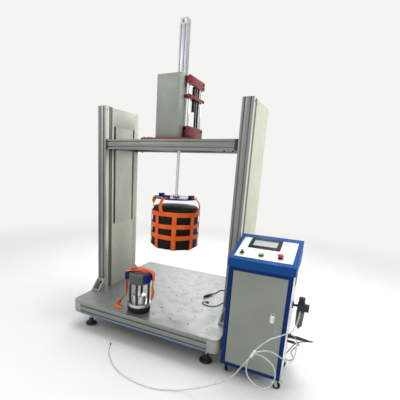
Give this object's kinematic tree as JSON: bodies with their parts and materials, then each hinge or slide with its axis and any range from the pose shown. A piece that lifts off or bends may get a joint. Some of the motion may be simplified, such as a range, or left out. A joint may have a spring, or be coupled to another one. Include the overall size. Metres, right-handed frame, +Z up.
{
  "type": "chair durability testing machine",
  "caption": "Chair durability tester: drilled bench, two columns, clamped beam with air cylinder and impact bag, seat impactor and wheeled control cabinet.",
  "frame": {"origin": "centre of the deck's top face, which the specimen stands on", "axes": "+Z up, +X to the right and +Y to the rear, seen from the side that the console faces"},
  "size_m": [1.8693, 1.744, 2.526],
  "materials": {
    "deck": "ground and lacquered plate",
    "profile": "anodised slotted profile",
    "foot": "black coated with a brown rubber ring",
    "cream": "satin cream sheet",
    "trim": "bright anodised strip",
    "panel": "satin grey-green sheet",
    "casting": "blasted die casting",
    "black_steel": "black satin",
    "red_anodised": "dark red anodised",
    "grey_sheet": "smooth grey sheet",
    "cylinder": "clear anodised extrusion",
    "bright_steel": "hard chrome",
    "blue_steel": "gloss dark blue",
    "webbing": "woven polyester webbing",
    "bag_cloth": "coated black cloth",
    "rubber": "black rubber",
    "grey_cast": "grey enamel",
    "cabinet_blue": "powder coated blue",
    "console_blue": "powder coated light blue",
    "side_white": "powder coated light grey",
    "panel_white": "satin white",
    "door_grey": "satin grey",
    "chrome": "polished",
    "black_plastic": "moulded black",
    "green_plastic": "green lens",
    "red_plastic": "red mushroom",
    "smoked_bowl": "smoked polycarbonate",
    "zinc": "zinc plated",
    "clear_hose": "clear polyurethane",
    "cable": "black sheath"
  },
  "bodies": {
    "bench": {"deck_plate": "deck", "base_rails": "profile", "corner_blocks": "profile", "front_posts": "profile", "rear_posts": "cream", "post_strips": "trim", "inner_panels": "panel", "outer_covers": "cream", "gussets": "casting", "cabinet_shell": "cabinet_blue", "console": "console_blue", "side_panels": "side_white", "console_panel": "panel_white", "screen_unit": "black_plastic", "regulator": "black_plastic", "regulator_bowl": "smoked_bowl", "side_plug": "black_plastic", "hoses": "clear_hose", "cables": "cable"},
    "beam": {"beam_rails": "profile", "beam_ends": "black_steel"},
    "tower": {"tower_base": "red_anodised", "tower_cover": "grey_sheet", "cylinder_barrel": "cylinder", "cylinder_heads": "cylinder", "cage_bottom": "red_anodised", "cage_middle": "red_anodised", "cage_top": "red_anodised", "cage_rods": "bright_steel", "cage_rail": "black_steel", "shock_absorber": "black_steel"},
    "ram": {"piston_rod": "bright_steel", "load_disc": "blue_steel", "bag_straps": "webbing", "bag": "bag_cloth", "bag_net": "webbing"},
    "impactor": {"impactor_pad": "rubber", "impactor_ring": "bright_steel", "impactor_posts": "black_steel", "impactor_head": "grey_cast", "impactor_blocks": "blue_steel", "impactor_straps": "webbing"},
    "door": {"cabinet_door": "door_grey"},
    "latch": {"door_latch": "chrome"},
    "selector": {"selector": "black_plastic"},
    "start": {"start_button": "green_plastic"},
    "stop": {"stop_button": "red_plastic"},
    "regulator_knob": {"regulator_knob": "black_plastic"},
    "foot_1": {"foot_1": "foot"},
    "foot_2": {"foot_2": "foot"},
    "foot_3": {"foot_3": "foot"},
    "foot_4": {"foot_4": "foot"},
    "fork_1": {"fork_1": "zinc"},
    "wheel_1": {"wheel_1": "rubber"},
    "fork_2": {"fork_2": "zinc"},
    "wheel_2": {"wheel_2": "rubber"},
    "fork_3": {"fork_3": "zinc"},
    "wheel_3": {"wheel_3": "rubber"},
    "fork_4": {"fork_4": "zinc"},
    "wheel_4": {"wheel_4": "rubber"}
  },
  "joints": [
    {"name": "beam_height", "type": "slide", "parent": "bench", "child": "beam", "axis": [0, 0, 1], "range_m": [-0.38, 0.1]},
    {"name": "tower_shift", "type": "slide", "parent": "beam", "child": "tower", "axis": [1, 0, 0], "range_m": [-0.2, 0.2]},
    {"name": "ram_stroke", "type": "slide", "parent": "tower", "child": "ram", "axis": [0, 0, 1], "range_m": [-0.04, 0.25]},
    {"name": "impactor_lift", "type": "slide", "parent": "bench", "child": "impactor", "axis": [0, 0, 1], "range_m": [0, 0.3]},
    {"name": "door_swing", "type": "hinge", "parent": "bench", "child": "door", "pos_m": [0.7076, -0.648, 0.19], "axis": [0, 0, 1], "range_deg": [-110, 0]},
    {"name": "latch_turn", "type": "hinge", "parent": "door", "child": "latch", "pos_m": [0.973, -0.6613, 0.271], "axis": [1, 0, 0], "range_deg": [-60, 0]},
    {"name": "selector_turn", "type": "hinge", "parent": "bench", "child": "selector", "pos_m": [0.728, -0.57774, 0.62204], "axis": [0, -0.2449, 0.9695], "range_deg": [-45, 45]},
    {"name": "start_press", "type": "slide", "parent": "bench", "child": "start", "axis": [0, 0.2449, -0.9695], "range_m": [0, 0.003], "stiffness_N_per_m": 400, "springref_m": -0.002},
    {"name": "stop_press", "type": "slide", "parent": "bench", "child": "stop", "axis": [0, 0.2449, -0.9695], "range_m": [0, 0.0035], "stiffness_N_per_m": 600, "springref_m": -0.002},
    {"name": "knob_turn", "type": "hinge", "parent": "bench", "child": "regulator_knob", "pos_m": [1.1175, -0.455, 0.33], "axis": [0, 0, 1], "continuous": true},
    {"name": "foot_turn_1", "type": "hinge", "parent": "bench", "child": "foot_1", "pos_m": [-0.54, -0.57, -0.12], "axis": [0, 0, 1], "continuous": true},
    {"name": "foot_turn_2", "type": "hinge", "parent": "bench", "child": "foot_2", "pos_m": [0.54, -0.57, -0.12], "axis": [0, 0, 1], "continuous": true},
    {"name": "foot_turn_3", "type": "hinge", "parent": "bench", "child": "foot_3", "pos_m": [-0.54, 0.57, -0.12], "axis": [0, 0, 1], "continuous": true},
    {"name": "foot_turn_4", "type": "hinge", "parent": "bench", "child": "foot_4", "pos_m": [0.54, 0.57, -0.12], "axis": [0, 0, 1], "continuous": true},
    {"name": "swivel_1", "type": "hinge", "parent": "bench", "child": "fork_1", "pos_m": [0.707, -0.62, -0.17], "axis": [0, 0, 1], "continuous": true},
    {"name": "roll_1", "type": "hinge", "parent": "fork_1", "child": "wheel_1", "pos_m": [0.707, -0.602, -0.221], "axis": [-1, 0, 0], "continuous": true},
    {"name": "swivel_2", "type": "hinge", "parent": "bench", "child": "fork_2", "pos_m": [1.027, -0.62, -0.17], "axis": [0, 0, 1], "continuous": true},
    {"name": "roll_2", "type": "hinge", "parent": "fork_2", "child": "wheel_2", "pos_m": [1.045, -0.62, -0.221], "axis": [0, 1, 0], "continuous": true},
    {"name": "swivel_3", "type": "hinge", "parent": "bench", "child": "fork_3", "pos_m": [0.707, -0.33, -0.17], "axis": [0, 0, 1], "continuous": true},
    {"name": "roll_3", "type": "hinge", "parent": "fork_3", "child": "wheel_3", "pos_m": [0.707, -0.312, -0.221], "axis": [-1, 0, 0], "continuous": true},
    {"name": "swivel_4", "type": "hinge", "parent": "bench", "child": "fork_4", "pos_m": [1.027, -0.33, -0.17], "axis": [0, 0, 1], "continuous": true},
    {"name": "roll_4", "type": "hinge", "parent": "fork_4", "child": "wheel_4", "pos_m": [1.045, -0.33, -0.221], "axis": [0, 1, 0], "continuous": true}
  ]
}
